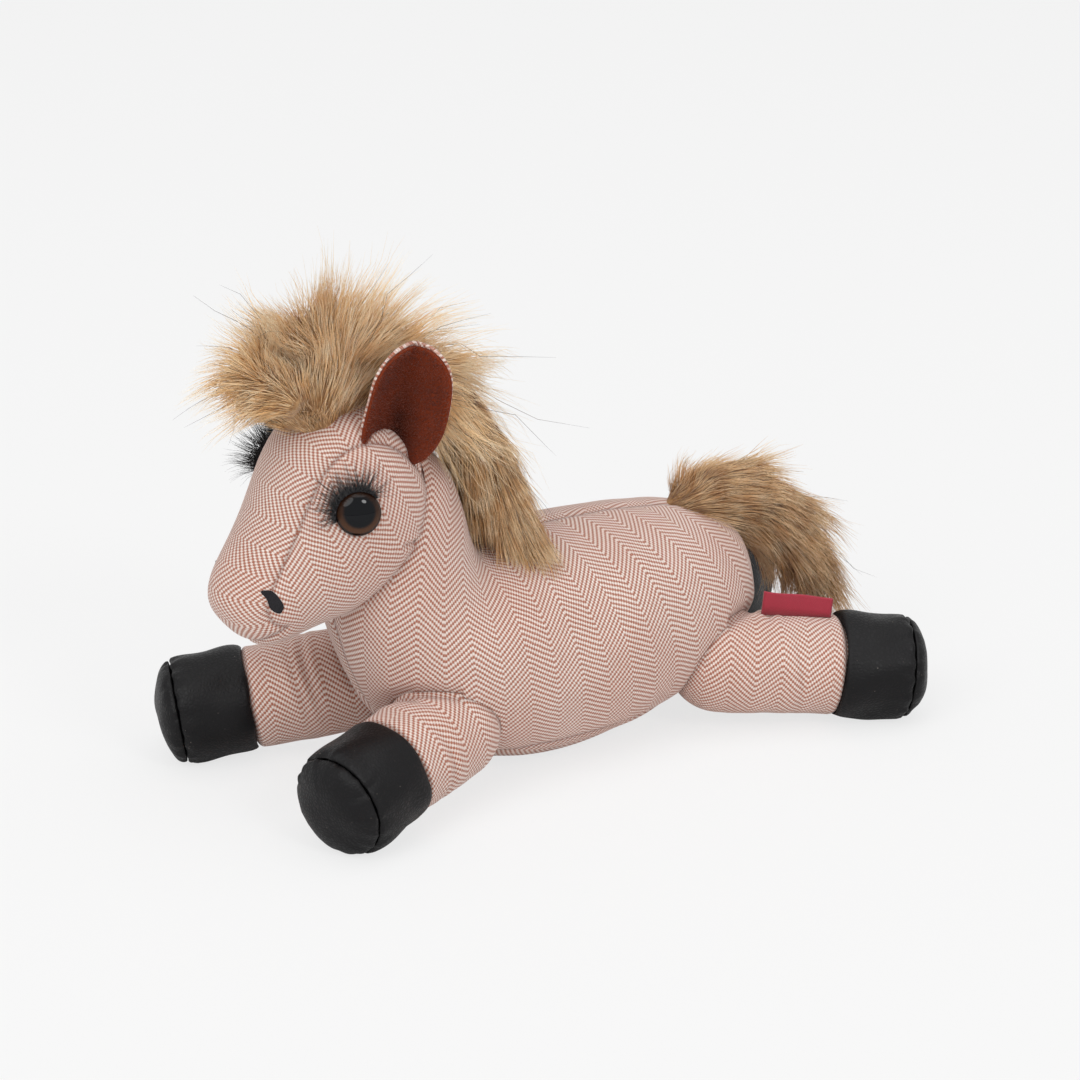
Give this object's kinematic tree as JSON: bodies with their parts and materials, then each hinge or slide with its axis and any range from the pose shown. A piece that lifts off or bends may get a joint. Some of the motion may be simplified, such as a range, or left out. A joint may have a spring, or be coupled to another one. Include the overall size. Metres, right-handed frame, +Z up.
{
  "type": "plush horse",
  "caption": "Lying plush horse with herringbone cloth cover, black leatherette hooves, felt lined ears, glossy eyes and a long pile faux fur mane and tail.",
  "frame": {"origin": "on the floor, in the small flat that the belly rests on, halfway along the body", "axes": "+X from the head to the tail, +Y towards the horse's right side, +Z up"},
  "size_m": [0.2613, 0.1428, 0.1892],
  "materials": {
    "herringbone": "herringbone weave of terracotta and off-white yarn, matte",
    "leatherette": "black artificial leather, semi-matte",
    "felt": "dark reddish brown felt",
    "fur": "tan long pile faux fur with black tipped guard hairs",
    "fibre": "white polyester fibre",
    "eye_gloss": "clear brown safety eye with a black pupil, high gloss",
    "washer_plastic": "natural white moulded plastic",
    "black_trim": "black felt and black fur backing",
    "label_ribbon": "crimson woven ribbon, bare"
  },
  "bodies": {
    "body": {"body_left_side": "herringbone", "body_right_side": "herringbone", "belly_panel": "herringbone", "body_stuffing": "fibre", "neck_mane": "fur"},
    "head": {"head_left_side": "herringbone", "head_right_side": "herringbone", "forehead_gusset": "herringbone", "head_stuffing": "fibre", "head_mane": "fur", "left_eye": "eye_gloss", "right_eye": "eye_gloss", "left_eye_washer": "washer_plastic", "right_eye_washer": "washer_plastic", "left_lash_strip": "black_trim", "right_lash_strip": "black_trim", "left_nostril_patch": "black_trim", "right_nostril_patch": "black_trim"},
    "left_ear": {"left_ear_back": "herringbone", "left_ear_lining": "felt"},
    "right_ear": {"right_ear_back": "herringbone", "right_ear_lining": "felt"},
    "tail": {"tail": "fur"},
    "front_left_leg": {"front_left_leg_cover": "herringbone", "front_left_leg_stuffing": "fibre", "front_left_hoof_band": "leatherette", "front_left_hoof_sole": "leatherette"},
    "front_right_leg": {"front_right_leg_cover": "herringbone", "front_right_leg_stuffing": "fibre", "front_right_hoof_band": "leatherette", "front_right_hoof_sole": "leatherette"},
    "rear_left_leg": {"rear_left_leg_cover": "herringbone", "rear_left_leg_stuffing": "fibre", "rear_left_hoof_band": "leatherette", "rear_left_hoof_sole": "leatherette", "side_label": "label_ribbon"},
    "rear_right_leg": {"rear_right_leg_cover": "herringbone", "rear_right_leg_stuffing": "fibre", "rear_right_hoof_band": "leatherette", "rear_right_hoof_sole": "leatherette"}
  },
  "joints": [
    {"name": "head_nod", "type": "hinge", "parent": "body", "child": "head", "pos_m": [-0.0865, 0, 0.1065], "axis": [0, -1, 0], "range_deg": [-8, 8], "stiffness_Nm_per_rad": 0.5},
    {"name": "left_ear_flex", "type": "hinge", "parent": "head", "child": "left_ear", "pos_m": [-0.065, -0.0115, 0.1285], "axis": [0.9085, -0.3671, -0.1995], "range_deg": [-15, 15], "stiffness_Nm_per_rad": 0.01},
    {"name": "right_ear_flex", "type": "hinge", "parent": "head", "child": "right_ear", "pos_m": [-0.065, 0.0115, 0.1285], "axis": [-0.9085, -0.3671, 0.1995], "range_deg": [-15, 15], "stiffness_Nm_per_rad": 0.01},
    {"name": "tail_lift", "type": "hinge", "parent": "body", "child": "tail", "pos_m": [0.06, 0, 0.0795], "axis": [0, -1, 0], "range_deg": [-8, 35], "stiffness_Nm_per_rad": 0.15},
    {"name": "front_left_leg_swing", "type": "hinge", "parent": "body", "child": "front_left_leg", "pos_m": [-0.052, -0.0235, 0.0265], "axis": [-0.1664, -0.0489, 0.9849], "range_deg": [-12, 18], "stiffness_Nm_per_rad": 0.05},
    {"name": "front_right_leg_swing", "type": "hinge", "parent": "body", "child": "front_right_leg", "pos_m": [-0.058, 0.032, 0.026], "axis": [0.1273, -0.0563, -0.9903], "range_deg": [-12, 18], "stiffness_Nm_per_rad": 0.05},
    {"name": "rear_left_leg_swing", "type": "hinge", "parent": "body", "child": "rear_left_leg", "pos_m": [0.062, -0.024, 0.0245], "axis": [-0.0886, 0.0414, -0.9952], "range_deg": [-12, 18], "stiffness_Nm_per_rad": 0.05},
    {"name": "rear_right_leg_swing", "type": "hinge", "parent": "body", "child": "rear_right_leg", "pos_m": [0.062, 0.024, 0.0245], "axis": [0.0886, 0.0414, 0.9952], "range_deg": [-12, 18], "stiffness_Nm_per_rad": 0.05}
  ]
}
